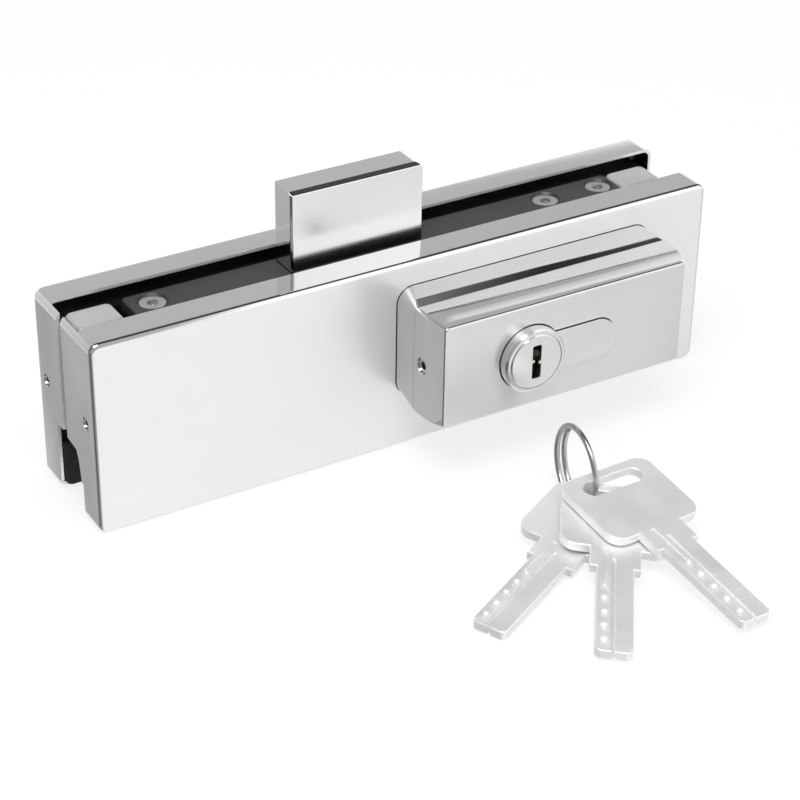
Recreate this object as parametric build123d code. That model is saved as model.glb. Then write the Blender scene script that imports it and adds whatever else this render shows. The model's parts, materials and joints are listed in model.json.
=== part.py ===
from build123d import *
import math
import os

# Patch lock for a frameless glass door, in millimetres.
# X runs along the lock, -Y is the keyed side, +Z is the way the bolt leaves.
# The origin is the middle of the mouth of the slot that takes the glass edge.

# Overall size of the closed fitting
length = 171.2
height = 51.0
thickness = 32.0
glass_thickness = 12.0
gasket_thickness = 1.0
pocket_depth = 13.0

# Covers
cover_wall = 0.8
front_rim = 8.5
back_rim = 8.0
cover_corner = 2.5
cover_edge = 1.1
flange_wrap = 1.0
# How far each left end flange stands past the rim, and at what height
front_flange = ((8.0, 18.2), (3.0, 17.6), (2.0, 15.4), (1.5, 13.0), (0.9, 9.5))
back_flange = ((5.5, 19.2), (1.7, 18.6), (1.7, 2.6), (0.4, 2.2))

# Named clearances
slip_gap = 0.15
seat_gap = 0.1
cylinder_gap = 0.2
bore_gap = 0.04
bolt_gap_y = 0.15
bolt_gap_x = 0.2
cavity_gap = 0.5
notch_gap = 0.7
notch_flare_length = 2.4
notch_flare_slope = 0.92
thread_gap = 0.03
seat_slack = 0.3
lid_screw_sink = 0.5

# Clamp plates
plate_inner = glass_thickness / 2 + gasket_thickness
plate_outer = thickness / 2 - cover_wall - 0.2
plate_drop = 5.0
plate_end_gap = 0.2
plate_corner = 2.0

# Lock case
case_half = plate_inner - seat_gap
case_drop = 4.5
case_cavity_half = 4.5
case_floor = 1.2
lid_half = 4.7
lid_thickness = 2.5
lid_end_gap = 0.2
lid_corner = 1.0
lid_edge = 0.3
case_edge = 1.0

# Cast hollow at the left end of the case, round a boss for the clamp bolt
hollow_left_wall = 9.35
hollow_right_wall = 10.95
hollow_low = 17.5
hollow_roof = 4.0
hollow_corner = 2.0
boss_wall = 2.5

# Deadbolt
bolt_width = 36.0
bolt_centre = -9.8
bolt_thickness = 8.0
bolt_top = 70.0
bolt_throw = 19.0
bolt_ear_left = 2.0
bolt_ear_right = 3.2
bolt_bottom_gap = 0.2
lid_stop_gap = 0.3
bolt_bevel_height = 0.8
bolt_bevel_depth = 1.1
bolt_side_bevel = 0.5
bolt_end_radius = 2.0

# Leaf spring that keeps the bolt where it is left
brake_length = 26.0
brake_width = 6.0
brake_sheet = 0.4
brake_depth = 1.3
brake_drop = 6.0
brake_play = 0.03

# Half profile cylinder, its barrel lying along Y and its tail pointing to +X
barrel_offset = 10.7
barrel_z = 30.0
barrel_radius = 8.5
tail_width = 10.0
profile_height = 33.0
cylinder_front = -40.4
tail_front = -38.7
cylinder_back = 10.4
cam_gap_half = 5.0
plug_radius = 6.47
plug_head_radius = 7.3
plug_head_depth = 1.0
plug_proud = 0.25
clip_groove_radius = 5.2
clip_radius = 7.2
clip_mouth = 5.0
keyway_width = 2.5
keyway_height = 9.0
keyway_depth = 31.0
ward_depth = 0.65
ward_height = 0.7
plug_dog_radius = 5.0
plug_dog_flat = 3.8
cam_half = 3.9
cam_ring_radius = 7.0
cam_tip_radius = 2.0
cam_reach = 15.0
fixing_offset = 20.3
fixing_head_radius = 3.6
fixing_head_height = 3.2
fixing_head_sink = 0.3
fixing_socket = 3.0

# Pins of the cylinder
pin_count = 5
pin_first = -36.5
pin_step = 5.0
pin_radius = 1.4
pin_bore_gap = 0.05
key_pin_tip = 1.75
driver_length = 5.5
chamber_cap_length = 2.2
spring_radius = 0.95
spring_wire = 0.3
spring_turns = 6

# Raised housing round the cylinder, its reach counted from the axis of the barrel
housing_reach_left = 24.5
housing_reach_right = 49.0
housing_low = 14.5
housing_high = 44.5
housing_corner = 4.4
housing_seam = -24.1
housing_seam_drop = 1.3
housing_seam_corner = 1.2
cap_front = -37.6
cap_shoulder = -31.0
cap_wall = 2.4
cap_floor = 2.2
cap_reach_left = 24.2
cap_reach_right = 44.7
cap_front_low = 16.7
cap_front_high = 44.1
cap_front_corner = 1.2
cap_edge = 0.5
spigot_corner = 3.0

# End blocks, set back from the ends of the plates and standing beside the case
block_width = 11.8
block_inset_left = 1.6
block_inset_right = 4.6
block_gap_left = 2.6
block_gap_right = 0.3
block_low = 16.0
block_drop = 2.0
block_corner = 1.8
block_edge = 1.0

# Screws, named by the thread they have
m3_radius = 1.5
m4_radius = 2.0
m5_radius = 2.5
m6_radius = 3.0
m3_socket = 1.5
m4_socket = 2.0
m4_head_socket = 2.5
m6_socket = 5.0
lid_screw_head = 3.3
lid_screw_length = 10.0
lid_screw_socket_depth = 1.4
lid_screw_inset_left = 6.2
lid_screw_inset_right = 4.7
lid_screw_past_fixing = 7.9
back_screw_head = 2.9
back_screw_length = 8.0
back_screw_low = 18.0
back_screw_drop = 5.5
back_screw_inset_left = 4.0
back_screw_inset_right = 5.4
back_screw_off_bolt = 6.2
back_screw_before_fixing = 7.7
back_screw_past_fixing = 0.8
cross_half_length = 2.2
cross_half_width = 0.35
cross_depth = 0.8
clamp_block_z = 38.0
clamp_case_z = 30.0
clamp_past_tail = 10.6
clamp_head_radius = 5.0
clamp_head_height = 4.0
clamp_socket_depth = 2.5
clamp_thread_end = -13.6
housing_screw_low = 21.5
housing_screw_high = 37.5
housing_screw_left = 16.9
housing_screw_right = 37.1
housing_screw_head = 3.5
housing_screw_head_height = 3.0
housing_screw_socket = 3.0
cover_screw_y = 11.2
cover_screw_z = 28.3
cover_screw_length = 6.0
cap_screw_y = -27.9
cap_screw_z = 29.3
cap_screw_length = 6.0

# Keys on their ring, lying beside the lock
key_length = 58.0
key_thickness = 2.2
blade_width = 8.6
blade_length = 28.2
collar_width = 11.8
collar_length = 6.7
head_width = 25.8
head_corner = 3.8
key_slot_inset = 5.1
key_slot_length = 16.8
key_slot_width = 4.9
tip_corner = 1.5
key_groove_side = 0.3
key_groove_width = 0.9
key_groove_depth = 0.6
key_track_side = 2.4
key_track_width = 1.1
key_track_depth = 0.3
key_edge = 0.2
key_dimples = (3.2, 7.8, 12.4, 17.0, 21.6)
key_dimple_radius = 1.2
key_dimple_depth = 0.6
key_dimple_point = 0.1
ring_x = 19.4
ring_y = -59.1
ring_turn = -9.0
ring_radius = 9.8
ring_wire = 0.7
ring_floor_gap = 0.2
ring_pitch = 1.9
ring_start = -70.0
ring_overlap = 100.0

# Each key: name, middle of its slot from the ring's middle and the floor, plan direction, climb, roll
key_places = (
    ("key_lower", (0.0, -9.88, 2.64), 27.7, 2.25, 3.7),
    ("key_middle", (2.37, -12.74, 5.68), 54.9, 5.35, 5.55),
    ("key_upper", (3.2, -9.81, 8.74), 93.3, 7.65, 1.05),
)

half_length = length / 2
half_thickness = thickness / 2
bolt_left = bolt_centre - bolt_width / 2
bolt_right = bolt_centre + bolt_width / 2
barrel_x = bolt_right + barrel_offset
plate_end = half_length - cover_wall - plate_end_gap
plate_top = height - plate_drop
case_top = height - case_drop
block_top = height - block_drop
brake_z = case_top - brake_drop
block_left = -plate_end + block_inset_left
block_right = plate_end - block_inset_right
case_left = block_left + block_width + block_gap_left
case_right = block_right - block_width - block_gap_right
pocket_top = pocket_depth
floor_top = pocket_top + case_floor
bolt_bottom = floor_top + bolt_bottom_gap + bolt_throw
ear_top = case_top - lid_stop_gap
tip_circle = cam_reach - cam_tip_radius
cam_angle = math.degrees(math.asin(bolt_throw / 2 / tip_circle))
notch_height = barrel_z + bolt_throw / 2
tail_end = barrel_x - barrel_radius + profile_height
fixing_x = barrel_x + fixing_offset
hollow_left = case_left + hollow_left_wall
hollow_right = bolt_left - hollow_right_wall
hollow_high = case_top - hollow_roof
housing_left = barrel_x - housing_reach_left
housing_right = barrel_x + housing_reach_right
key_slot_place = key_length - key_slot_inset

# Screw places, as x or as (x, z)
lid_screw_places = (
    case_left + lid_screw_inset_left,
    fixing_x + lid_screw_past_fixing,
    case_right - lid_screw_inset_right,
)
back_screw_places = (
    (case_left + back_screw_inset_left, back_screw_low),
    (bolt_left - back_screw_off_bolt, back_screw_low),
    (bolt_left - back_screw_off_bolt, case_top - back_screw_drop),
    (fixing_x - back_screw_before_fixing, case_top - back_screw_head - seat_slack),
    (fixing_x + back_screw_past_fixing, back_screw_low),
    (case_right - back_screw_inset_right, back_screw_low),
)
clamp_places = (
    (block_left + block_width / 2, clamp_block_z),
    ((hollow_left + hollow_right) / 2, clamp_case_z),
    (tail_end + clamp_past_tail, clamp_case_z),
    (block_right - block_width / 2, clamp_block_z),
)
housing_screw_places = (
    (barrel_x - housing_screw_left, housing_screw_high),
    (barrel_x - housing_screw_left, housing_screw_low),
    (barrel_x + housing_screw_right, housing_screw_high),
    (barrel_x + housing_screw_right, housing_screw_low),
)


def box(x_low, x_high, y_low, y_high, z_low, z_high):
    """A block given by its limits."""
    centre = ((x_low + x_high) / 2, (y_low + y_high) / 2, (z_low + z_high) / 2)
    return Pos(*centre) * Box(x_high - x_low, y_high - y_low, z_high - z_low)


def along_x(sketch, x_low, x_high):
    """Extrude a (y, z) sketch along X."""
    return extrude(Plane.YZ.offset(x_low) * sketch, amount=x_high - x_low)


def along_y(sketch, y_low, y_high):
    """Extrude an (x, z) sketch along Y."""
    return extrude(Plane.XZ.offset(-y_high) * sketch, amount=y_high - y_low)


def along_z(sketch, z_low, z_high):
    """Extrude an (x, y) sketch along Z."""
    return extrude(Plane.XY.offset(z_low) * sketch, amount=z_high - z_low)


def rod_x(y, z, radius, x_low, x_high):
    return along_x(Pos(y, z) * Circle(radius), x_low, x_high)


def rod_y(x, z, radius, y_low, y_high):
    return along_y(Pos(x, z) * Circle(radius), y_low, y_high)


def rod_z(x, y, radius, z_low, z_high):
    return along_z(Pos(x, y) * Circle(radius), z_low, z_high)


def frame_sketch(x_low, x_high, z_low, z_high, radius):
    """A rounded rectangle given by its limits."""
    middle = Pos((x_low + x_high) / 2, (z_low + z_high) / 2)
    return middle * RectangleRounded(x_high - x_low, z_high - z_low, radius)


def profile_sketch(gap=0.0):
    """Outline of the cylinder: a round barrel with a narrow tail towards +X."""
    barrel = Pos(barrel_x, barrel_z) * Circle(barrel_radius + gap)
    tail_reach = tail_end - tail_width / 2 - barrel_x
    tail = Pos(barrel_x + tail_reach / 2, barrel_z) * Rectangle(tail_reach, tail_width + 2 * gap)
    tail_round = Pos(tail_end - tail_width / 2, barrel_z) * Circle(tail_width / 2 + gap)
    return barrel + tail + tail_round


def hexagon(across_flats):
    return RegularPolygon(across_flats / 2, 6, major_radius=False)


def save(name, solids):
    """Write one node: a single solid, or a group of separate solids."""
    shape = solids if not isinstance(solids, list) else Compound(children=solids)
    shape.label = name
    export_step(shape, f"parts/{name}.step")


def tray_sketches():
    outer = frame_sketch(-half_length, half_length, 0, height, cover_corner)
    reach = half_length - cover_wall
    inner = frame_sketch(-reach, reach, cover_wall, height - cover_wall, cover_corner - cover_wall)
    return outer, inner


def make_cover(side, rim, flange):
    """A drawn sheet cover; side is -1 for the keyed side and +1 for the plain side."""
    outer, inner = tray_sketches()
    y_face = side * half_thickness
    y_rim = side * (half_thickness - rim)
    solid = along_y(outer, min(y_face, y_rim), max(y_face, y_rim))
    face_edges = solid.edges().filter_by_position(Axis.Y, y_face, y_face)
    solid = fillet(face_edges, cover_edge)
    y_inside = side * (half_thickness - cover_wall)
    y_past = y_rim - side
    solid -= along_y(inner, min(y_inside, y_past), max(y_inside, y_past))
    end_strip = outer - inner
    y_reach = y_rim - side * flange[0][0]
    wrap = along_y(end_strip, min(y_rim, y_reach), max(y_rim, y_reach))
    corners = [(y_rim + side, height), (y_reach, height)]
    corners += [(y_rim - side * reach, z) for reach, z in flange]
    corners += [(y_rim + side, flange[-1][1])]
    outline = Polygon(*corners[::side], align=None)
    solid += wrap & along_x(outline, -half_length, -half_length + flange_wrap)
    for x_end in (-half_length, half_length):
        x_low = x_end - cover_wall - 1
        x_high = x_end + cover_wall + 1
        solid -= rod_x(side * cover_screw_y, cover_screw_z, m3_radius + seat_gap, x_low, x_high)
    return solid


def make_front_cover():
    cover = make_cover(-1, front_rim, front_flange)
    opening = frame_sketch(
        housing_left - slip_gap,
        housing_right + slip_gap,
        housing_low - slip_gap,
        housing_high + slip_gap,
        housing_corner + slip_gap,
    )
    return cover - along_y(opening, -thickness, -front_rim)


def make_back_cover():
    return make_cover(1, back_rim, back_flange)


def make_plate(side):
    """A cast clamp plate that lies inside one cover."""
    outline = frame_sketch(-plate_end, plate_end, cover_wall + plate_end_gap, plate_top, plate_corner)
    y_in = side * plate_inner
    y_out = side * plate_outer
    plate = along_y(outline, min(y_in, y_out), max(y_in, y_out))
    for x_side in (-1, 1):
        ends = (x_side * (plate_end - cover_screw_length - 1), x_side * (plate_end + 1))
        plate -= rod_x(side * cover_screw_y, cover_screw_z, m3_radius + thread_gap, min(ends), max(ends))
    return plate


def make_front_plate():
    plate = make_plate(-1)
    plate -= along_y(profile_sketch(cylinder_gap + seat_gap), -plate_outer - 1, -plate_inner + 1)
    for x, z in housing_screw_places:
        plate -= rod_y(x, z, m4_radius + thread_gap, -plate_outer - 1, -plate_inner - 1)
    for x, z in clamp_places:
        plate -= rod_y(x, z, m6_radius + thread_gap, clamp_thread_end - seat_slack, -plate_inner + 1)
    return plate


def make_back_plate():
    plate = make_plate(1)
    plate -= along_y(profile_sketch(cylinder_gap + seat_gap), plate_inner - 1, cylinder_back + 0.4)
    for x, z in clamp_places:
        plate -= rod_y(x, z, m6_radius + slip_gap, plate_inner - 1, plate_outer + 1)
        head_seat = plate_outer - clamp_head_height - seat_slack
        plate -= rod_y(x, z, clamp_head_radius + slip_gap, head_seat, plate_outer + 1)
    return plate


def make_gasket(side):
    y_glass = side * glass_thickness / 2
    y_plate = side * plate_inner
    low = cover_wall + plate_end_gap
    sheet = Pos(0, (low + pocket_top - seat_gap) / 2) * Rectangle(2 * plate_end, pocket_top - seat_gap - low)
    sheet = fillet(sheet.vertices().group_by(Axis.Y)[0], plate_corner)
    return along_y(sheet, min(y_glass, y_plate), max(y_glass, y_plate))


def cavity_sketch():
    """Hollow of the case, seen from the front: bolt chamber, cam sweep and cylinder tail."""
    chamber_left = bolt_left - bolt_ear_left - bolt_gap_x
    chamber_right = bolt_right + bolt_ear_right + bolt_gap_x
    middle = ((chamber_left + chamber_right) / 2, (floor_top + case_top + 1) / 2)
    chamber = Pos(*middle) * Rectangle(chamber_right - chamber_left, case_top + 1 - floor_top)
    sweep = Pos(barrel_x, barrel_z) * Circle(cam_reach + cavity_gap)
    return chamber + sweep + profile_sketch(cylinder_gap)


def case_hollow_sketch():
    """Cast pocket at the left end, with a boss left standing for the clamp bolt."""
    hollow = frame_sketch(hollow_left, hollow_right, hollow_low, hollow_high, hollow_corner)
    boss_x, boss_z = clamp_places[1]
    return hollow - Pos(boss_x, boss_z) * Circle(m6_radius + boss_wall)


def make_case():
    case = box(case_left, case_right, -case_half, case_cavity_half, pocket_top, case_top)
    case = fillet(case.edges().filter_by(Axis.Y), case_edge)
    case -= along_y(cavity_sketch(), -case_cavity_half, case_cavity_half + 1)
    case -= along_y(case_hollow_sketch(), -case_cavity_half, case_cavity_half + 1)
    case -= along_y(profile_sketch(cylinder_gap), -case_half - 1, 0)
    lid_hole_end = case_top + lid_thickness - lid_screw_length - 1
    for x in lid_screw_places:
        case -= rod_z(x, 0, m4_radius + thread_gap, lid_hole_end, case_top + 1)
    back_hole_end = case_half - back_screw_length - 0.5
    for x, z in back_screw_places:
        case -= rod_y(x, z, m3_radius + thread_gap, back_hole_end, case_cavity_half + 1)
    for x, z in clamp_places[1:3]:
        case -= rod_y(x, z, m6_radius + slip_gap, -case_half - 1, case_cavity_half + 1)
    case -= rod_z(fixing_x, 0, m5_radius + slip_gap, barrel_z, case_top + 1)
    case -= rod_z(fixing_x, 0, fixing_head_radius + cylinder_gap, fixing_head_seat(), case_top + 1)
    return case


def fixing_head_seat():
    return case_top - fixing_head_sink - fixing_head_height - seat_gap


def make_case_back():
    plate = box(case_left, case_right, case_cavity_half, case_half, pocket_top, case_top)
    plate = fillet(plate.edges().filter_by(Axis.Y), case_edge)
    plate -= along_y(profile_sketch(cylinder_gap), case_cavity_half - 1, case_half + 1)
    for x, z in back_screw_places:
        plate -= rod_y(x, z, m3_radius + slip_gap, case_cavity_half - 1, case_half + 1)
        plate -= countersink_y(x, z, case_half, back_screw_head + seat_gap, m3_radius + slip_gap)
    for x, z in clamp_places[1:3]:
        plate -= rod_y(x, z, m6_radius + slip_gap, case_cavity_half - 1, case_half + 1)
    pocket = brake_pocket()
    return plate - pocket


def brake_pocket():
    """Shallow recess behind the bolt for the bowed leaf spring."""
    x_low = bolt_centre - brake_length / 2 - cavity_gap
    x_high = bolt_centre + brake_length / 2 + cavity_gap
    z_low = brake_z - brake_width / 2 - seat_slack
    z_high = brake_z + brake_width / 2 + seat_slack
    return box(x_low, x_high, case_cavity_half - 1, case_cavity_half + brake_depth, z_low, z_high)


def make_brake():
    """Bowed leaf spring whose crest rubs the back of the bolt."""
    crest = bolt_thickness / 2 + brake_play
    foot = case_cavity_half + brake_depth - brake_play
    rise = foot - crest - brake_sheet
    half = brake_length / 2
    radius = (half ** 2 + rise ** 2) / (2 * rise)
    middle = (bolt_centre, crest + radius)
    ring = Circle(radius) - Circle(radius - brake_sheet)
    strip = along_z(Pos(*middle) * ring, brake_z - brake_width / 2, brake_z + brake_width / 2)
    keep = box(bolt_centre - half, bolt_centre + half, 0, foot, brake_z - brake_width, brake_z + brake_width)
    return strip & keep


def countersink_y(x, z, y_face, head_radius, shank_radius):
    """Cone that opens towards +Y and is flush with y_face."""
    depth = head_radius - shank_radius
    cone = Cone(shank_radius, head_radius, depth, align=(Align.CENTER, Align.CENTER, Align.MAX))
    return Pos(x, y_face, z) * Rot(-90, 0, 0) * cone


def countersink_z(x, z_face, head_radius, shank_radius):
    """Cone that opens upwards and is flush with z_face."""
    depth = head_radius - shank_radius
    cone = Cone(shank_radius, head_radius, depth, align=(Align.CENTER, Align.CENTER, Align.MAX))
    return Pos(x, 0, z_face) * cone


def make_lid():
    """Top plate that closes the case and guides the bolt."""
    z_top = case_top + lid_thickness
    x_middle = (case_left + case_right) / 2
    width = case_right - case_left - 2 * lid_end_gap
    lid = along_z(Pos(x_middle, 0) * RectangleRounded(width, 2 * lid_half, lid_corner), case_top, z_top)
    lid = chamfer(lid.edges().filter_by_position(Axis.Z, z_top, z_top), lid_edge)
    slot_width = bolt_width + 2 * bolt_gap_x
    slot_depth = bolt_thickness + 2 * bolt_gap_y
    slot = Pos(bolt_centre, 0) * RectangleRounded(slot_width, slot_depth, 0.4)
    lid -= along_z(slot, case_top - 1, z_top + 1)
    for x in lid_screw_places:
        lid -= rod_z(x, 0, m4_radius + slip_gap, case_top - 1, z_top + 1)
        lid -= countersink_z(x, z_top, lid_screw_head + lid_screw_sink + seat_gap, m4_radius + slip_gap)
    return lid


def make_lid_screws():
    z_top = case_top + lid_thickness - lid_screw_sink
    screws = []
    for x in lid_screw_places:
        screw = rod_z(x, 0, m4_radius, z_top - lid_screw_length, z_top)
        screw += countersink_z(x, z_top, lid_screw_head, m4_radius)
        screw -= along_z(Pos(x, 0) * hexagon(m4_head_socket), z_top - lid_screw_socket_depth, z_top + 1)
        screws.append(screw)
    return screws


def make_back_screws():
    y_face = case_half - seat_gap
    screws = []
    for x, z in back_screw_places:
        screw = rod_y(x, z, m3_radius, case_half - back_screw_length, y_face)
        screw += countersink_y(x, z, y_face, back_screw_head, m3_radius)
        for long, wide in ((cross_half_length, cross_half_width), (cross_half_width, cross_half_length)):
            screw -= box(x - long, x + long, y_face - cross_depth, y_face + 1, z - wide, z + wide)
        screws.append(screw)
    return screws


def make_clamp_bolts():
    bolts = []
    head_top = plate_outer - 0.2
    head_seat = head_top - clamp_head_height
    for x, z in clamp_places:
        bolt = rod_y(x, z, m6_radius, clamp_thread_end, head_seat + 0.5)
        bolt += rod_y(x, z, clamp_head_radius, head_seat, head_top)
        bolt -= along_y(Pos(x, z) * hexagon(m6_socket), head_top - clamp_socket_depth, head_top + 1)
        bolts.append(bolt)
    return bolts


def make_block(x_left):
    """Cast spacer between the clamp plates at one end."""
    x_right = x_left + block_width
    middle = (x_left + x_right) / 2
    outline = Pos(middle, 0) * RectangleRounded(block_width, 2 * case_half, block_corner)
    body = along_z(outline, block_low, case_top)
    body += along_z(
        Pos(middle, 0) * RectangleRounded(block_width, 2 * lid_half, block_corner), case_top - 0.5, block_top
    )
    top_edges = body.edges().filter_by_position(Axis.Z, block_top, block_top)
    body = fillet(top_edges, block_edge)
    x, z = min(clamp_places, key=lambda place: abs(place[0] - middle))
    return body - rod_y(x, z, m6_radius + slip_gap, -case_half - 1, case_half + 1)


def make_bolt():
    """Deadbolt with two ears inside the case and a notch for the cam."""
    half = bolt_thickness / 2
    ears_left = bolt_left - bolt_ear_left
    ears_right = bolt_right + bolt_ear_right
    bar = box(bolt_left, bolt_right, -half, half, bolt_bottom, bolt_top)
    upper_edges = bar.edges().filter_by(Axis.Y).group_by(Axis.Z)[-1]
    right_edge = upper_edges.sort_by(Axis.X)[-1]
    bar = fillet(right_edge, bolt_end_radius)
    bevel = Polygon(
        (-half - 1, bolt_top - bolt_bevel_height - bolt_bevel_height / bolt_bevel_depth),
        (-half + bolt_bevel_depth + 1, bolt_top + bolt_bevel_height / bolt_bevel_depth),
        (-half - 1, bolt_top + bolt_bevel_height / bolt_bevel_depth),
        align=None,
    )
    bar -= along_x(bevel, bolt_left - 1, bolt_right + 1)
    side_edges = bar.edges().filter_by(Axis.Z).group_by(Axis.X)[0].sort_by(Axis.Y)
    bar = chamfer(side_edges[0], bolt_side_bevel)
    ears = box(ears_left, ears_right, -half, half, bolt_bottom, ear_top)
    bolt = bar + ears
    lip = cam_tip_radius + notch_gap
    notch_left = barrel_x - cam_reach - notch_gap
    mouth = ears_right + 1
    flare_start = ears_right - notch_flare_length
    flare = (mouth - flare_start) * notch_flare_slope
    notch = Polygon(
        (notch_left, notch_height - lip),
        (flare_start, notch_height - lip),
        (mouth, notch_height - lip - flare),
        (mouth, notch_height + lip + flare),
        (flare_start, notch_height + lip),
        (notch_left, notch_height + lip),
        align=None,
    )
    return bolt - along_y(notch, -half - 1, half + 1)


def make_cylinder_body():
    """Half profile cylinder: keyed barrel in front, short stub behind the cam."""
    body = along_y(profile_sketch(), tail_front, cylinder_back)
    body += rod_y(barrel_x, barrel_z, barrel_radius, cylinder_front, tail_front + 1)
    sweep = Pos(barrel_x, barrel_z) * Circle(cam_reach + cavity_gap)
    body -= along_y(sweep, -cam_gap_half, cam_gap_half)
    body -= rod_y(barrel_x, barrel_z, plug_radius + bore_gap, cylinder_front - 1, -cam_gap_half + 1)
    head_seat = cylinder_front + plug_head_depth
    body -= rod_y(barrel_x, barrel_z, plug_head_radius + bore_gap, cylinder_front - 1, head_seat)
    for y in pin_places():
        body -= rod_x(y, barrel_z, pin_radius + pin_bore_gap, barrel_x, tail_end + 1)
    body -= rod_z(fixing_x, 0, m5_radius + thread_gap, barrel_z - tail_width, barrel_z + tail_width)
    front_edges = body.edges().filter_by_position(Axis.Y, cylinder_front, cylinder_front)
    rim = front_edges.filter_by(GeomType.CIRCLE).sort_by(SortBy.RADIUS)[-1]
    return chamfer(rim, 0.5)


def pin_places():
    return [pin_first + pin_step * number for number in range(pin_count)]


def make_plug():
    """Turning plug with a keyway, key pin holes and a dog for the cam."""
    face = cylinder_front - plug_proud
    shoulder = -cam_gap_half - 0.1
    dog_end = cam_half + 0.3
    plug = rod_y(barrel_x, barrel_z, plug_radius, face, shoulder)
    plug += rod_y(barrel_x, barrel_z, plug_head_radius, face, cylinder_front + plug_head_depth - bore_gap)
    plug += rod_y(barrel_x, barrel_z, clip_groove_radius, shoulder - 0.1, -cam_half)
    plug += along_y(dog_sketch(0), -cam_half - 0.1, dog_end)
    plug += rod_y(barrel_x, barrel_z, plug_radius, -cam_half - 0.45, -cam_half - 0.1)
    face_edges = plug.edges().filter_by_position(Axis.Y, face, face)
    plug = chamfer(face_edges, 0.4)
    plug -= along_y(Pos(barrel_x, barrel_z) * keyway_sketch(), face - 1, face + keyway_depth)
    for y in pin_places():
        plug -= rod_x(y, barrel_z, pin_radius + pin_bore_gap, barrel_x, barrel_x + plug_radius + 1)
    return plug


def keyway_sketch():
    """Keyway with a ward on each side, matching the grooves of the keys."""
    slot = RectangleRounded(keyway_width, keyway_height, 0.5)
    for side in (-1, 1):
        ward = Pos(side * keyway_width / 2, -side * key_groove_side) * Rectangle(2 * ward_depth, ward_height)
        slot -= ward
    return slot


def dog_sketch(gap):
    round_part = Circle(plug_dog_radius + gap)
    flats = Rectangle(2 * (plug_dog_flat + gap), 4 * plug_dog_radius)
    return Pos(barrel_x, barrel_z) * (round_part & flats)


def make_cam():
    """Cam ring and nose; at rest the nose holds the bolt out."""
    angle = 180 - cam_angle
    nose = Pos(tip_circle / 2, 0) * SlotOverall(tip_circle + 2 * cam_tip_radius, 2 * cam_tip_radius)
    outline = Circle(cam_ring_radius) + Rot(0, 0, angle) * nose
    outline = Pos(barrel_x, barrel_z) * outline
    return along_y(outline - dog_sketch(bore_gap), -cam_half, cam_half)


def make_clip():
    """Open spring ring in the groove between the barrel and the cam."""
    y_low = -cam_gap_half + 0.02
    y_high = -cam_half - 0.47
    ring = Circle(clip_radius) - Circle(clip_groove_radius + 0.03)
    ring -= Pos(clip_radius, 0) * Rectangle(2 * clip_radius, clip_mouth)
    return along_y(Pos(barrel_x, barrel_z) * ring, y_low, y_high)


def make_key_pins():
    pins = []
    start = barrel_x + keyway_width / 2 - key_pin_tip
    end = barrel_x + math.sqrt(plug_radius ** 2 - pin_radius ** 2) - 0.05
    for y in pin_places():
        pin = rod_x(y, barrel_z, pin_radius, start, end)
        tip_edge = pin.edges().group_by(Axis.X)[0]
        pins.append(chamfer(tip_edge, 0.7))
    return pins


def driver_start():
    return barrel_x + plug_radius + bore_gap + 0.02


def make_driver_pins():
    start = driver_start()
    return [rod_x(y, barrel_z, pin_radius, start, start + driver_length) for y in pin_places()]


def chamber_cap_start():
    return tail_end - chamber_cap_length - 0.4


def make_pin_springs():
    start = driver_start() + driver_length + spring_wire + 0.03
    end = chamber_cap_start() - spring_wire - 0.03
    springs = []
    for y in pin_places():
        place = Plane(origin=(start, y, barrel_z), x_dir=(0, 1, 0), z_dir=(1, 0, 0))
        path = place * Edge.make_helix((end - start) / spring_turns, end - start, spring_radius)
        section = Plane(origin=path @ 0, z_dir=path % 0) * Circle(spring_wire / 2)
        springs.append(sweep(section, path))
    return springs


def make_chamber_caps():
    start = chamber_cap_start()
    return [rod_x(y, barrel_z, pin_radius + 0.03, start, start + chamber_cap_length) for y in pin_places()]


def make_fixing_screw():
    """Screw from above through the case into the cylinder tail."""
    seat = fixing_head_seat() + seat_gap
    head_top = seat + fixing_head_height
    screw = rod_z(fixing_x, 0, m5_radius, barrel_z - tail_width / 3, seat + 1)
    screw += rod_z(fixing_x, 0, fixing_head_radius, seat, head_top)
    socket = Pos(fixing_x, 0) * hexagon(fixing_socket)
    return screw - along_z(socket, head_top - fixing_head_height / 2, head_top + 1)


def spigot_sketch(gap):
    inner_gap = cap_wall + gap
    return frame_sketch(
        housing_left + inner_gap,
        barrel_x + cap_reach_right - inner_gap,
        cap_front_low + inner_gap,
        cap_front_high - inner_gap,
        spigot_corner,
    )


def seam_sketch():
    """Outline where base and cap meet, nearly sharp at its corners."""
    z_high = housing_high - housing_seam_drop
    return frame_sketch(housing_left, housing_right, housing_low, z_high, housing_seam_corner)


def make_housing():
    """Base of the raised housing, standing on the clamp plate through the front cover."""
    y_foot = -plate_outer
    y_face = -thickness / 2
    outline = frame_sketch(housing_left, housing_right, housing_low, housing_high, housing_corner)
    base = along_y(outline, y_face, y_foot)
    base += loft([Plane.XZ.offset(-y_face) * outline, Plane.XZ.offset(-housing_seam) * seam_sketch()])
    spigot_end = cap_front + cap_floor + seat_gap
    base += along_y(spigot_sketch(slip_gap), spigot_end, housing_seam + 1)
    base -= along_y(profile_sketch(cylinder_gap), spigot_end - 1, y_foot + 1)
    for x, z in housing_screw_places:
        base -= rod_y(x, z, m4_radius + slip_gap, spigot_end - 1, y_foot + 1)
        base -= rod_y(x, z, housing_screw_head + slip_gap, spigot_end - 1, housing_screw_seat())
    screw_end = housing_left + cap_screw_length + 1
    base -= rod_x(cap_screw_y, cap_screw_z, m4_radius + thread_gap, housing_left - 1, screw_end)
    return base


def housing_screw_seat():
    return housing_seam + housing_screw_head_height + 1.0


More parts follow.
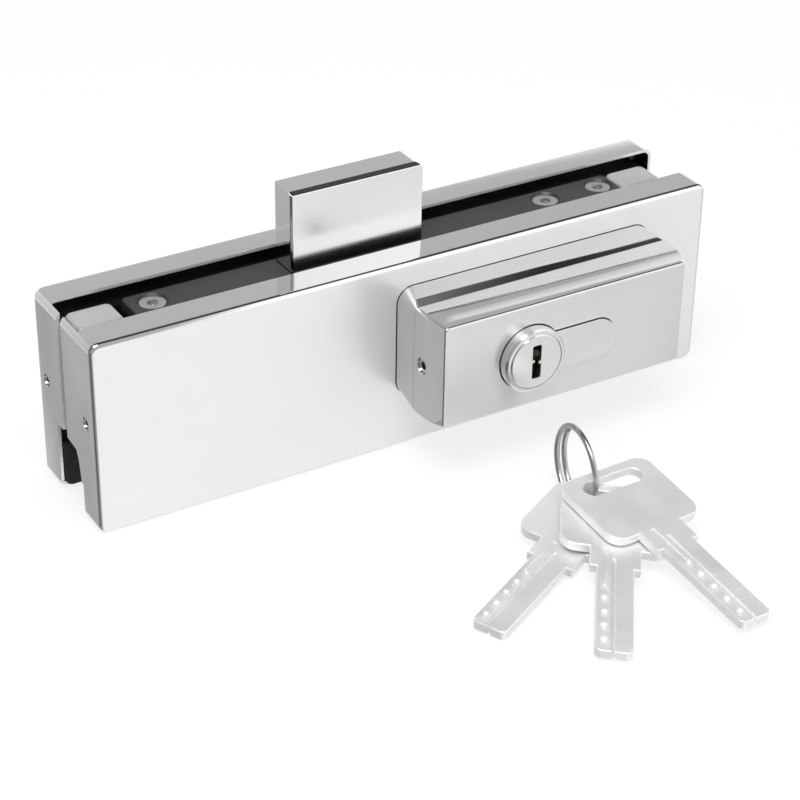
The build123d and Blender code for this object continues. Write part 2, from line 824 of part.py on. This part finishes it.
def make_housing_screws():
    screws = []
    seat = housing_screw_seat() - 0.05
    for x, z in housing_screw_places:
        head_end = seat - housing_screw_head_height
        screw = rod_y(x, z, m4_radius, seat - 0.5, -plate_inner - 1.4)
        screw += rod_y(x, z, housing_screw_head, head_end, seat)
        screw -= along_y(Pos(x, z) * hexagon(housing_screw_socket), head_end - 1, seat - 1)
        screws.append(screw)
    return screws


def make_cap():
    """Tapering front shell of the housing, nearly sharp at its front face."""
    middle = frame_sketch(
        housing_left + 0.1, housing_right - 0.6, housing_low + 0.3, housing_high - 1.0, housing_seam_corner
    )
    front = frame_sketch(
        barrel_x - cap_reach_left, barrel_x + cap_reach_right, cap_front_low, cap_front_high, cap_front_corner
    )
    levels = ((housing_seam - 0.05, seam_sketch()), (cap_shoulder, middle), (cap_front, front))
    cap = loft([Plane.XZ.offset(-y) * outline for y, outline in levels])
    face_edges = cap.edges().filter_by_position(Axis.Y, cap_front, cap_front)
    cap = fillet(face_edges, cap_edge)
    cap -= along_y(spigot_sketch(0), cap_front + cap_floor, housing_seam + 1)
    cap -= along_y(profile_sketch(cylinder_gap), cap_front - 1, cap_front + cap_floor + 1)
    hole_end = housing_left + cap_wall + 1
    cap -= rod_x(cap_screw_y, cap_screw_z, m4_radius + seat_gap, housing_left - 1, hole_end)
    return cap


def set_screw(x_out, x_in, y, z, radius, socket):
    """Hex socket set screw along X, its socket facing x_out."""
    way = 1 if x_out > x_in else -1
    screw = rod_x(y, z, radius, min(x_out, x_in), max(x_out, x_in))
    deep = x_out - way * socket
    past = x_out + way
    return screw - along_x(Pos(y, z) * hexagon(socket), min(deep, past), max(deep, past))


def make_cover_screws(side):
    start = half_length - cover_wall / 2
    end = start - cover_screw_length
    y = side * cover_screw_y
    return [set_screw(way * start, way * end, y, cover_screw_z, m3_radius, m3_socket) for way in (-1, 1)]


def make_cap_screw():
    start = housing_left + cavity_gap
    return set_screw(start, start + cap_screw_length, cap_screw_y, cap_screw_z, m4_radius, m4_socket)


def key_shape():
    """Flat dimple key with its tip at the origin and its length along +X."""
    head_length = key_length - blade_length - collar_length
    blade = Pos(blade_length / 2 + 0.5, 0) * Rectangle(blade_length + 1, blade_width)
    collar = Pos(blade_length + collar_length / 2 + 0.5, 0) * Rectangle(collar_length + 1, collar_width)
    head_middle = key_length - head_length / 2
    head = Pos(head_middle, 0) * RectangleRounded(head_length, head_width, head_corner)
    slot = Pos(key_slot_place, 0) * Rot(0, 0, 90) * SlotOverall(key_slot_length, key_slot_width)
    outline = blade + collar + head - slot
    tip_corners = outline.vertices().group_by(Axis.X)[0]
    outline = fillet(tip_corners, tip_corner)
    key = extrude(outline, amount=key_thickness)
    rims = key.edges().filter_by_position(Axis.Z, key_thickness, key_thickness)
    key = chamfer(rims, key_edge)
    for turn in (0, 180):
        key -= Pos(0, 0, key_thickness / 2) * Rot(turn, 0, 0) * key_cuts()
    return key


def key_cuts():
    """Grooves and dimples of one face, above the middle plane of the key."""
    level = key_thickness / 2
    groove = Box(blade_length + collar_length, key_groove_width, 2 * key_groove_depth)
    cuts = Pos(blade_length / 2, key_groove_side, level) * groove
    track = Box(2 * collar_length, key_track_width, 2 * key_track_depth)
    cuts += Pos(blade_length, key_track_side, level) * track
    to_face = (Align.CENTER, Align.CENTER, Align.MAX)
    for place in key_dimples:
        cone = Cone(key_dimple_point, key_dimple_radius, key_dimple_depth, align=to_face)
        cuts += Pos(place, key_track_side, level) * cone
    return cuts


def place_key(hook, direction, tilt, roll):
    """Hang a key on the ring by its slot: which way it points, how it climbs and rolls."""
    place = Pos(ring_x + hook[0], ring_y + hook[1], hook[2])
    return place * Rot(0, 0, direction) * Rot(0, -tilt, 0) * Rot(roll, 0, 0) * Pos(-key_slot_place, 0, 0)


def make_ring():
    """Split ring: one wire that overlaps itself on the far side, away from the keys."""
    turns = 1 + ring_overlap / 360
    rise = ring_pitch * turns
    angle = math.radians(ring_start)
    place = Plane(origin=(-rise / 2, 0, 0), x_dir=(0, math.cos(angle), math.sin(angle)), z_dir=(1, 0, 0))
    path = place * Edge.make_helix(ring_pitch, rise, ring_radius)
    section = Plane(origin=path @ 0, z_dir=path % 0) * Circle(ring_wire)
    ring = sweep(section, path)
    return Pos(ring_x, ring_y, ring_radius + ring_wire + ring_floor_gap) * Rot(0, 0, ring_turn) * ring


def main():
    os.makedirs("parts", exist_ok=True)
    save("front_cover", make_front_cover())
    save("back_cover", make_back_cover())
    save("front_clamp_plate", make_front_plate())
    save("back_clamp_plate", make_back_plate())
    save("front_gasket", make_gasket(-1))
    save("back_gasket", make_gasket(1))
    save("lock_case", make_case())
    save("case_back_plate", make_case_back())
    save("case_top_plate", make_lid())
    save("case_top_screws", make_lid_screws())
    save("case_back_screws", make_back_screws())
    save("bolt_brake_spring", make_brake())
    save("clamp_bolts", make_clamp_bolts())
    save("left_end_block", make_block(block_left))
    save("right_end_block", make_block(block_right - block_width))
    save("deadbolt", make_bolt())
    save("cylinder_body", make_cylinder_body())
    save("cylinder_plug", make_plug())
    save("cylinder_cam", make_cam())
    save("cam_clip", make_clip())
    save("key_pins", make_key_pins())
    save("driver_pins", make_driver_pins())
    save("pin_springs", make_pin_springs())
    save("chamber_caps", make_chamber_caps())
    save("cylinder_fixing_screw", make_fixing_screw())
    save("cylinder_housing", make_housing())
    save("housing_screws", make_housing_screws())
    save("housing_cap", make_cap())
    save("cap_set_screw", make_cap_screw())
    save("front_cover_screws", make_cover_screws(-1))
    save("back_cover_screws", make_cover_screws(1))
    for name, hook, direction, tilt, roll in key_places:
        save(name, place_key(hook, direction, tilt, roll) * key_shape())
    save("key_ring", make_ring())


main()
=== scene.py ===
import json
import math
import bpy
import bmesh
from mathutils import Matrix, Vector


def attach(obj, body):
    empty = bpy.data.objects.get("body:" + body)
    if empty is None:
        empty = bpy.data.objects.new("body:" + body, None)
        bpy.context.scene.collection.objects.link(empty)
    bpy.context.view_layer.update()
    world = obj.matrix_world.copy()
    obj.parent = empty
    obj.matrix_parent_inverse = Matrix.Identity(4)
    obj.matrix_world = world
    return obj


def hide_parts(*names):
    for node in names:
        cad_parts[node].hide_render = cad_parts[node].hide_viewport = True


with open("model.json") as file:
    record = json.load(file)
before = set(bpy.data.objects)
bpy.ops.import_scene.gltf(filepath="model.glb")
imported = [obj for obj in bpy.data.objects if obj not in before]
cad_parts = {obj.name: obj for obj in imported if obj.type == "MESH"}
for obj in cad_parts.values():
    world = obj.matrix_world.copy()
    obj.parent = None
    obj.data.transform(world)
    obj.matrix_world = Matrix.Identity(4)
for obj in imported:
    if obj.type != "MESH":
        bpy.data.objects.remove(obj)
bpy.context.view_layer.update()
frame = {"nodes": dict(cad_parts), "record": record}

NODES = frame["nodes"]
SLOT_OF = {entry["node"]: entry["material_slot"] for entry in frame["record"]["subparts"]}
BODY_OF = {
    name: body for body, members in frame["record"]["behaviour"]["bodies"].items() for name in members
}
MM = 0.001

# Base colours, as linear values
POLISHED = (0.88, 0.88, 0.885)
CHROME = (0.76, 0.76, 0.765)
NICKEL = (0.84, 0.835, 0.83)
KEY_NICKEL = (0.97, 0.965, 0.96)
BRIGHT_STEEL = (0.62, 0.62, 0.63)
SPRING_STEEL = (0.60, 0.60, 0.61)
# Brass of the pins, darkened far below its own colour: painted shade of the dark keyway they sit in
BRASS_DARKENED_AS_SHADE = (0.13, 0.095, 0.045)
# Clamp plates near black: painted shade of the deep gaps between the covers where they sit
CLAMP_PAINTED_SHADE_BLACK = (0.008, 0.008, 0.0085)
LIGHT_CASTING = (0.62, 0.62, 0.63)
# Case colour: its own dark coating, deepened to near black as painted shade of the gap around the lid
CASE_DARK_COAT_AND_PAINTED_SHADE = (0.005, 0.005, 0.0055)
LID_GREY = (0.040, 0.040, 0.043)
RUBBER = (0.012, 0.012, 0.012)
FLOOR_PAINT = (0.93, 0.93, 0.94, 1.0)
BACKGROUND_WHITE = (0.985, 0.98, 0.99, 1.0)
SOFT_LIGHT = (0.70, 0.70, 0.71, 1.0)

# How fine the noise of each finish is, in cycles per metre
CLOUD_SCALE = 28.0
HAIRLINE_SCALE = 900.0
CASTING_SKIN_SCALE = 1400.0
CASTING_FLOW_SCALE = 60.0
KEY_CLOUD_SCALE = 90.0
KEY_SCRATCH_SCALE = 1200.0
RUBBER_SCALE = 2200.0

# Stretch of the noise, small along the way that the hairlines run
EVEN = (1.0, 1.0, 1.0)
BRUSHED_ALONG_X = (0.02, 1.0, 1.0)
BRUSHED_ALONG_Z = (1.0, 1.0, 0.03)
KEY_BRUSHED = (0.15, 1.0, 1.0)

# Height of the skin of castings and rubber, in metres
SKIN_COARSE = 0.00004
SKIN_MEDIUM = 0.00003
SKIN_FINE = 0.00002

# How squarely a face looks ahead or back where its satin finish starts and where it is full
SATIN_START = 0.985
SATIN_FULL = 0.998

# Pointiness where the painted highlight on sharp edges starts and where it is brightest
EDGE_HIGHLIGHT_START = 0.52
EDGE_HIGHLIGHT_FULL = 0.62
EDGE_HIGHLIGHT_SHARE = 0.25

# Width of the softened edges, in millimetres, and the angles in degrees that count as flat and as sharp
EDGE_SHEET = 0.25
EDGE_CAST = 0.35
EDGE_FINE = 0.12
EDGE_SEGMENTS = 2
WELD_DISTANCE = 0.002
FLAT_ANGLE = 0.5
SHARP_ANGLE = 32.0

SOFTENED = {
    "front_cover": EDGE_SHEET,
    "back_cover": EDGE_SHEET,
    "deadbolt": EDGE_FINE,
    "housing_cap": EDGE_FINE,
    "cylinder_housing": EDGE_FINE,
    "cylinder_body": EDGE_FINE,
    "cylinder_plug": EDGE_FINE,
    "case_top_plate": EDGE_FINE,
    "case_top_screws": EDGE_FINE,
    "left_end_block": EDGE_CAST,
    "right_end_block": EDGE_CAST,
    "key_lower": EDGE_FINE,
    "key_middle": EDGE_FINE,
    "key_upper": EDGE_FINE,
}

# The view of the photo: lens and sensor in millimetres, clipping in metres, place in millimetres
SENSOR_WIDTH = 36.0
LENS = 107.35
CLIP_NEAR = 0.01
CLIP_FAR = 20.0
CAMERA_PLACE = (-262.4, -447.0, 318.8)
CAMERA_AHEAD = (0.43881, 0.73296, -0.51981)
CAMERA_UP = (0.25385, 0.45381, 0.85418)

# Half the width of the floor in metres, and the share of its own white where the camera sees it
FLOOR_REACH = 6.0
FLOOR_WHITE_SHARE = 0.8

# The one lamp: place, aim and size in metres, power in watts
LAMP_PLACE = (-0.25, -0.35, 0.9)
LAMP_AIM = (0.0, -0.02, 0.02)
LAMP_SIZE = (0.7, 0.5)
LAMP_POWER = 7.0

# What the metal mirrors. Each strip of the studio starts at an angle in degrees: 0 is the table behind the
# lock, 90 is overhead, 180 is the table ahead, and the rest lies below. Each holds its levels from the
# left end of the lock, -1, to the right end, 1.
STRIPS = (
    ("low_back", -28, ((-1.0, 0.10), (-0.6, 0.60), (0.0, 1.05), (1.0, 1.0))),
    ("back_card", 24.5, ((-1.0, 0.10), (-0.5, 0.50), (0.0, 0.53), (0.58, 0.50), (1.0, 0.8))),
    ("flag", 41, ((-1.0, 0.10), (0.0, 0.30), (0.38, 0.28), (0.45, 0.10), (0.50, 0.03), (1.0, 0.20))),
    ("dark_top", 55, ((-1.0, 0.04), (0.0, 0.03), (1.0, 0.10))),
    ("soft_box", 108, ((-1.0, 0.30), (0.34, 0.45), (0.38, 1.30), (0.5, 1.20), (1.0, 1.0))),
    ("front_table", 200, ((-0.75, 0.10), (-0.62, 0.30), (-0.36, 0.36), (-0.1, 0.86), (0.1, 1.0),
                          (0.36, 0.97), (0.46, 0.84), (0.58, 0.72), (1.0, 0.62))),
    ("left_table", 275, ((-1.0, 0.30), (-0.5, 0.42), (-0.38, 0.48), (-0.31, 0.38), (-0.2, 0.6),
                         (0.2, 0.9), (1.0, 0.9))),
)
STRIP_EDGE = 1.5
# A colour ramp holds levels up to 1 only, so brighter ones go in divided by this
BRIGHTEST_LEVEL = 2.0


def node(tree, kind, **values):
    """Add a shader node and set its plain properties."""
    made = tree.nodes.new(kind)
    for name, value in values.items():
        setattr(made, name, value)
    return made


def new_material(name):
    """Empty material with one shader, ready to be filled."""
    material = bpy.data.materials.new(name)
    material.use_nodes = True
    tree = material.node_tree
    tree.nodes.clear()
    shader = node(tree, "ShaderNodeBsdfPrincipled")
    output = node(tree, "ShaderNodeOutputMaterial")
    tree.links.new(shader.outputs["BSDF"], output.inputs["Surface"])
    return material, tree, shader


def noise(tree, coordinates, scale, detail=4.0, stretch=EVEN):
    """Noise over the object, in cycles per metre."""
    mapping = node(tree, "ShaderNodeMapping")
    mapping.inputs["Scale"].default_value = stretch
    texture = node(tree, "ShaderNodeTexNoise")
    texture.inputs["Scale"].default_value = scale
    texture.inputs["Detail"].default_value = detail
    texture.inputs["Roughness"].default_value = 0.5
    tree.links.new(coordinates.outputs["Object"], mapping.inputs["Vector"])
    tree.links.new(mapping.outputs["Vector"], texture.inputs["Vector"])
    return texture.outputs["Fac"]


def spread(tree, value, low, high, start=0.3, end=0.7):
    """Map a value between start and end to low and high. Noise lies mostly between 0.3 and 0.7."""
    made = node(tree, "ShaderNodeMapRange")
    made.inputs["From Min"].default_value = start
    made.inputs["From Max"].default_value = end
    made.inputs["To Min"].default_value = low
    made.inputs["To Max"].default_value = high
    tree.links.new(value, made.inputs["Value"])
    return made.outputs["Result"]


def combine(tree, operation, first, second=0.0):
    """Arithmetic on one or two values, each a number or a socket."""
    made = node(tree, "ShaderNodeMath", operation=operation)
    for socket, value in zip(made.inputs, (first, second)):
        if isinstance(value, (int, float)):
            socket.default_value = value
        else:
            tree.links.new(value, socket)
    return made.outputs[0]


def tint(tree, factor, dark, light):
    """Blend of two colours by a factor."""
    made = node(tree, "ShaderNodeMix", data_type="RGBA")
    made.inputs["A"].default_value = (*dark, 1.0)
    made.inputs["B"].default_value = (*light, 1.0)
    tree.links.new(factor, made.inputs["Factor"])
    return made.outputs["Result"]


def scaled(colour, factor):
    return tuple(min(1.0, channel * factor) for channel in colour)


def bump(tree, shader, height, distance):
    """Fine relief of the given depth in metres."""
    made = node(tree, "ShaderNodeBump")
    made.inputs["Distance"].default_value = distance
    made.inputs["Strength"].default_value = 1.0
    tree.links.new(height, made.inputs["Height"])
    tree.links.new(made.outputs["Normal"], shader.inputs["Normal"])


def satin_share(tree, coordinates):
    """1 on the broad faces ahead and behind, and 0 on the polished rims."""
    axes = node(tree, "ShaderNodeSeparateXYZ")
    tree.links.new(coordinates.outputs["Normal"], axes.inputs[0])
    squareness = combine(tree, "ABSOLUTE", axes.outputs["Y"])
    return spread(tree, squareness, 0.0, 1.0, SATIN_START, SATIN_FULL)


def colour_with_painted_edge_highlight(tree, clouds, colour):
    """Colour of a metal, a little cloudy, with a painted highlight that brightens its sharp edges."""
    geometry = node(tree, "ShaderNodeNewGeometry")
    # Sharp edges are brightened by pointiness: painted highlight
    edges = spread(tree, geometry.outputs["Pointiness"], 0.0, EDGE_HIGHLIGHT_SHARE, EDGE_HIGHLIGHT_START, EDGE_HIGHLIGHT_FULL)
    base = tint(tree, spread(tree, clouds, 0.0, 1.0), scaled(colour, 0.965), colour)
    bright = node(tree, "ShaderNodeMix", data_type="RGBA", blend_type="SCREEN")
    bright.inputs["B"].default_value = (*scaled(colour, 0.6), 1.0)
    tree.links.new(edges, bright.inputs["Factor"])
    tree.links.new(base, bright.inputs["A"])
    return bright.outputs["Result"]


def metal(name, colour, rough, vary, grain=EVEN, satin=None, haze=0.0):
    """Bare or plated metal: cloudy reflection, hairlines along one way and a painted highlight on sharp
    edges.

    Where satin is given, it is the roughness of the broad faces, and haze is how much of their
    reflection is scattered evenly.
    """
    material, tree, shader = new_material(name)
    shader.inputs["Metallic"].default_value = 1.0
    coordinates = node(tree, "ShaderNodeTexCoord")
    clouds = noise(tree, coordinates, CLOUD_SCALE, 5.0)
    lines = noise(tree, coordinates, HAIRLINE_SCALE, 3.0, grain)
    smudges = spread(tree, clouds, rough - vary / 2, rough + vary)
    hair = spread(tree, lines, -vary / 3, vary / 3)
    level = combine(tree, "ADD", smudges, hair)
    if satin is not None:
        share = satin_share(tree, coordinates)
        level = combine(tree, "ADD", level, combine(tree, "MULTIPLY", share, satin - rough))
        metallic = spread(tree, share, 1.0, 1.0 - haze, 0.0, 1.0)
        tree.links.new(metallic, shader.inputs["Metallic"])
    tree.links.new(level, shader.inputs["Roughness"])
    tree.links.new(colour_with_painted_edge_highlight(tree, clouds, colour), shader.inputs["Base Color"])
    return material


def casting(name, colour, rough, metallic, skin_depth, gloss=0.5):
    """Die casting or coated casting with a fine skin."""
    material, tree, shader = new_material(name)
    shader.inputs["Metallic"].default_value = metallic
    shader.inputs["Specular IOR Level"].default_value = gloss
    coordinates = node(tree, "ShaderNodeTexCoord")
    skin = noise(tree, coordinates, CASTING_SKIN_SCALE, 6.0)
    flow = noise(tree, coordinates, CASTING_FLOW_SCALE, 4.0)
    level = spread(tree, flow, rough - 0.08, rough + 0.10)
    tree.links.new(level, shader.inputs["Roughness"])
    mottled = tint(tree, spread(tree, flow, 0.0, 1.0), scaled(colour, 0.86), colour)
    tree.links.new(mottled, shader.inputs["Base Color"])
    bump(tree, shader, skin, skin_depth)
    return material


def satin_nickel(name, colour, rough, metallic):
    """Tumbled nickel silver: pale, softly glossy, with faint scratches."""
    material, tree, shader = new_material(name)
    shader.inputs["Metallic"].default_value = metallic
    coordinates = node(tree, "ShaderNodeTexCoord")
    clouds = noise(tree, coordinates, KEY_CLOUD_SCALE, 4.0)
    lines = noise(tree, coordinates, KEY_SCRATCH_SCALE, 3.0, KEY_BRUSHED)
    smudges = spread(tree, clouds, rough - 0.05, rough + 0.08)
    level = combine(tree, "ADD", smudges, spread(tree, lines, -0.04, 0.04))
    tree.links.new(level, shader.inputs["Roughness"])
    cloudy = tint(tree, spread(tree, clouds, 0.0, 1.0), scaled(colour, 0.95), colour)
    tree.links.new(cloudy, shader.inputs["Base Color"])
    return material


def rubber(name, colour):
    """Dull black rubber with a fine grain."""
    material, tree, shader = new_material(name)
    coordinates = node(tree, "ShaderNodeTexCoord")
    fine = noise(tree, coordinates, RUBBER_SCALE, 4.0)
    tree.links.new(spread(tree, fine, 0.65, 0.85), shader.inputs["Roughness"])
    grained = tint(tree, fine, scaled(colour, 0.8), scaled(colour, 1.3))
    tree.links.new(grained, shader.inputs["Base Color"])
    bump(tree, shader, fine, SKIN_COARSE)
    return material


# One material per slot of the record, by the slot's name
MATERIALS = {
    slot: make(slot, *values, **more)
    for slot, make, values, more in (
        ("polished_cover", metal, (POLISHED, 0.08, 0.02, BRUSHED_ALONG_X), {"satin": 0.34, "haze": 0.4}),
        ("housing_chrome", metal, (CHROME, 0.06, 0.02, BRUSHED_ALONG_X), {"satin": 0.30, "haze": 0.25}),
        ("clamp_casting", casting, (CLAMP_PAINTED_SHADE_BLACK, 0.6, 0.0, SKIN_COARSE), {"gloss": 0.15}),
        ("block_casting", casting, (LIGHT_CASTING, 0.36, 0.5, SKIN_MEDIUM), {}),
        ("gasket_rubber", rubber, (RUBBER,), {}),
        ("case_black", casting, (CASE_DARK_COAT_AND_PAINTED_SHADE, 0.6, 0.0, SKIN_MEDIUM), {"gloss": 0.12}),
        ("lid_grey", casting, (LID_GREY, 0.38, 0.2, SKIN_FINE), {}),
        ("screw_steel", metal, (BRIGHT_STEEL, 0.24, 0.08), {}),
        ("bolt_steel", metal, (POLISHED, 0.08, 0.02, BRUSHED_ALONG_Z), {"satin": 0.20}),
        ("cylinder_nickel", metal, (NICKEL, 0.16, 0.06), {}),
        ("pin_brass", metal, (BRASS_DARKENED_AS_SHADE, 0.22, 0.08), {}),
        ("spring_steel", metal, (SPRING_STEEL, 0.26, 0.08), {}),
        ("key_nickel", satin_nickel, (KEY_NICKEL, 0.42, 0.6), {}),
    )
}


def joined_mesh(source):
    """Copy of a mesh with its doubled points joined and its flat faces merged."""
    mesh = source.copy()
    shape = bmesh.new()
    shape.from_mesh(mesh)
    bmesh.ops.remove_doubles(shape, verts=shape.verts, dist=WELD_DISTANCE * MM)
    flat = math.radians(FLAT_ANGLE)
    bmesh.ops.dissolve_limit(shape, angle_limit=flat, verts=shape.verts, edges=shape.edges)
    shape.to_mesh(mesh)
    shape.free()
    if "custom_normal" in mesh.attributes:
        mesh.attributes.remove(mesh.attributes["custom_normal"])
    for face in mesh.polygons:
        face.use_smooth = True
    return mesh


def soft_copy(name, width):
    """Copy of a CAD node with its sharp edges rounded, as the made piece has them."""
    piece = bpy.data.objects.new(name + "_finished", joined_mesh(NODES[name].data))
    bpy.context.scene.collection.objects.link(piece)
    bevel = piece.modifiers.new("edges", "BEVEL")
    bevel.width = width * MM
    bevel.segments = EDGE_SEGMENTS
    bevel.limit_method = "ANGLE"
    bevel.angle_limit = math.radians(SHARP_ANGLE)
    bevel.harden_normals = True
    bevel.miter_outer = "MITER_ARC"
    apply_modifiers(piece)
    return piece


def apply_modifiers(piece):
    graph = bpy.context.evaluated_depsgraph_get()
    result = bpy.data.meshes.new_from_object(piece.evaluated_get(graph), depsgraph=graph)
    piece.modifiers.clear()
    piece.data = result


def finish(thing, slot):
    """Give a piece the material of its slot."""
    thing.data.materials.clear()
    thing.data.materials.append(MATERIALS[slot])


def dress(name, width):
    """Replace a CAD node by its softened copy, in the finish of its slot."""
    slot = SLOT_OF[name]
    piece = soft_copy(name, width)
    finish(piece, slot)
    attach(piece, BODY_OF[name])
    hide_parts(name)


def make_camera():
    """The photo's view: a long lens, ahead and to the left, looking down."""
    data = bpy.data.cameras.new("photo_camera")
    data.sensor_width = SENSOR_WIDTH
    data.lens = LENS
    data.clip_start = CLIP_NEAR
    data.clip_end = CLIP_FAR
    camera = bpy.data.objects.new("photo_camera", data)
    bpy.context.scene.collection.objects.link(camera)
    ahead = Vector(CAMERA_AHEAD).normalized()
    right = ahead.cross(Vector(CAMERA_UP)).normalized()
    up = right.cross(ahead)
    turn = Matrix((right, up, -ahead)).transposed().to_4x4()
    camera.matrix_world = Matrix.Translation(Vector(CAMERA_PLACE) * MM) @ turn
    bpy.context.scene.camera = camera


def floor_material():
    """White paint that stays white to the camera and in reflections, and keeps the shadow."""
    material = bpy.data.materials.new("floor")
    material.use_nodes = True
    tree = material.node_tree
    tree.nodes.clear()
    paint = node(tree, "ShaderNodeBsdfDiffuse")
    paint.inputs["Color"].default_value = FLOOR_PAINT
    glow = node(tree, "ShaderNodeEmission")
    glow.inputs["Color"].default_value = BACKGROUND_WHITE
    path = node(tree, "ShaderNodeLightPath")
    seen = combine(tree, "MAXIMUM", path.outputs["Is Camera Ray"], path.outputs["Is Glossy Ray"])
    seen = combine(tree, "MAXIMUM", seen, path.outputs["Is Transmission Ray"])
    share = combine(tree, "MULTIPLY", seen, FLOOR_WHITE_SHARE)
    mix = node(tree, "ShaderNodeMixShader")
    output = node(tree, "ShaderNodeOutputMaterial")
    tree.links.new(share, mix.inputs[0])
    tree.links.new(paint.outputs[0], mix.inputs[1])
    tree.links.new(glow.outputs[0], mix.inputs[2])
    tree.links.new(mix.outputs[0], output.inputs["Surface"])
    return material


def make_floor():
    """White table top. The studio's strips stand in for it in reflections."""
    reach = FLOOR_REACH
    mesh = bpy.data.meshes.new("floor")
    corners = [(-reach, -reach, 0), (reach, -reach, 0), (reach, reach, 0), (-reach, reach, 0)]
    mesh.from_pydata(corners, [], [(0, 1, 2, 3)])
    mesh.materials.append(floor_material())
    floor = bpy.data.objects.new("floor", mesh)
    bpy.context.scene.collection.objects.link(floor)
    floor.visible_glossy = False


def ramp(tree, value, levels):
    """Level for a place between the left end, -1, and the right end, 1, along straight runs."""
    made = node(tree, "ShaderNodeValToRGB")
    elements = made.color_ramp.elements
    while len(elements) < len(levels):
        elements.new(0.5)
    for element, (place, level) in zip(elements, levels):
        share = level / BRIGHTEST_LEVEL
        element.position = (place + 1) / 2
        element.color = (share, share, share, 1.0)
    tree.links.new(value, made.inputs["Fac"])
    return combine(tree, "MULTIPLY", made.outputs["Color"], BRIGHTEST_LEVEL)


def studio_level(tree):
    """Level of the studio in each direction, strip after strip with short blends between them."""
    coordinates = node(tree, "ShaderNodeTexCoord")
    axes = node(tree, "ShaderNodeSeparateXYZ")
    tree.links.new(coordinates.outputs["Generated"], axes.inputs[0])
    along = spread(tree, axes.outputs["X"], 0.0, 1.0, -1.0, 1.0)
    angle = combine(tree, "ARCTAN2", axes.outputs["Z"], axes.outputs["Y"])
    first_angle = STRIPS[0][1]
    turned = combine(tree, "SUBTRACT", angle, math.radians(first_angle))
    turn = combine(tree, "FRACT", combine(tree, "DIVIDE", turned, 2 * math.pi))
    half = STRIP_EDGE / 360
    level = ramp(tree, along, STRIPS[0][2])
    for _, start, levels in STRIPS[1:]:
        edge = (start - first_angle) / 360
        mix = node(tree, "ShaderNodeMix", data_type="FLOAT")
        tree.links.new(spread(tree, turn, 0.0, 1.0, edge - half, edge + half), mix.inputs["Factor"])
        tree.links.new(level, mix.inputs["A"])
        tree.links.new(ramp(tree, along, levels), mix.inputs["B"])
        level = mix.outputs["Result"]
    return level


def make_world():
    """White to the camera, a studio with a soft box and dark cards to metal, and even light to the rest."""
    world = bpy.data.worlds.new("studio")
    bpy.context.scene.world = world
    world.use_nodes = True
    tree = world.node_tree
    tree.nodes.clear()
    mirrored = node(tree, "ShaderNodeBackground")
    tree.links.new(studio_level(tree), mirrored.inputs["Color"])
    seen = node(tree, "ShaderNodeBackground")
    seen.inputs["Color"].default_value = BACKGROUND_WHITE
    soft = node(tree, "ShaderNodeBackground")
    soft.inputs["Color"].default_value = SOFT_LIGHT
    path = node(tree, "ShaderNodeLightPath")
    glossy = node(tree, "ShaderNodeMixShader")
    camera = node(tree, "ShaderNodeMixShader")
    output = node(tree, "ShaderNodeOutputWorld")
    tree.links.new(path.outputs["Is Glossy Ray"], glossy.inputs[0])
    tree.links.new(soft.outputs[0], glossy.inputs[1])
    tree.links.new(mirrored.outputs[0], glossy.inputs[2])
    tree.links.new(path.outputs["Is Camera Ray"], camera.inputs[0])
    tree.links.new(glossy.outputs[0], camera.inputs[1])
    tree.links.new(seen.outputs[0], camera.inputs[2])
    tree.links.new(camera.outputs[0], output.inputs["Surface"])


def make_lamp():
    """One large soft lamp above, ahead and to the left."""
    data = bpy.data.lights.new("top_softbox", "AREA")
    data.shape = "RECTANGLE"
    data.size, data.size_y = LAMP_SIZE
    data.energy = LAMP_POWER
    lamp = bpy.data.objects.new("top_softbox", data)
    bpy.context.scene.collection.objects.link(lamp)
    lamp.location = LAMP_PLACE
    lamp.rotation_mode = "QUATERNION"
    lamp.rotation_quaternion = (Vector(LAMP_AIM) - Vector(LAMP_PLACE)).to_track_quat("-Z", "Y")


for name, thing in NODES.items():
    finish(thing, SLOT_OF[name])
for name, width in SOFTENED.items():
    dress(name, width)
make_camera()
make_floor()
make_world()
make_lamp()
bpy.context.scene.view_settings.view_transform = "Standard"
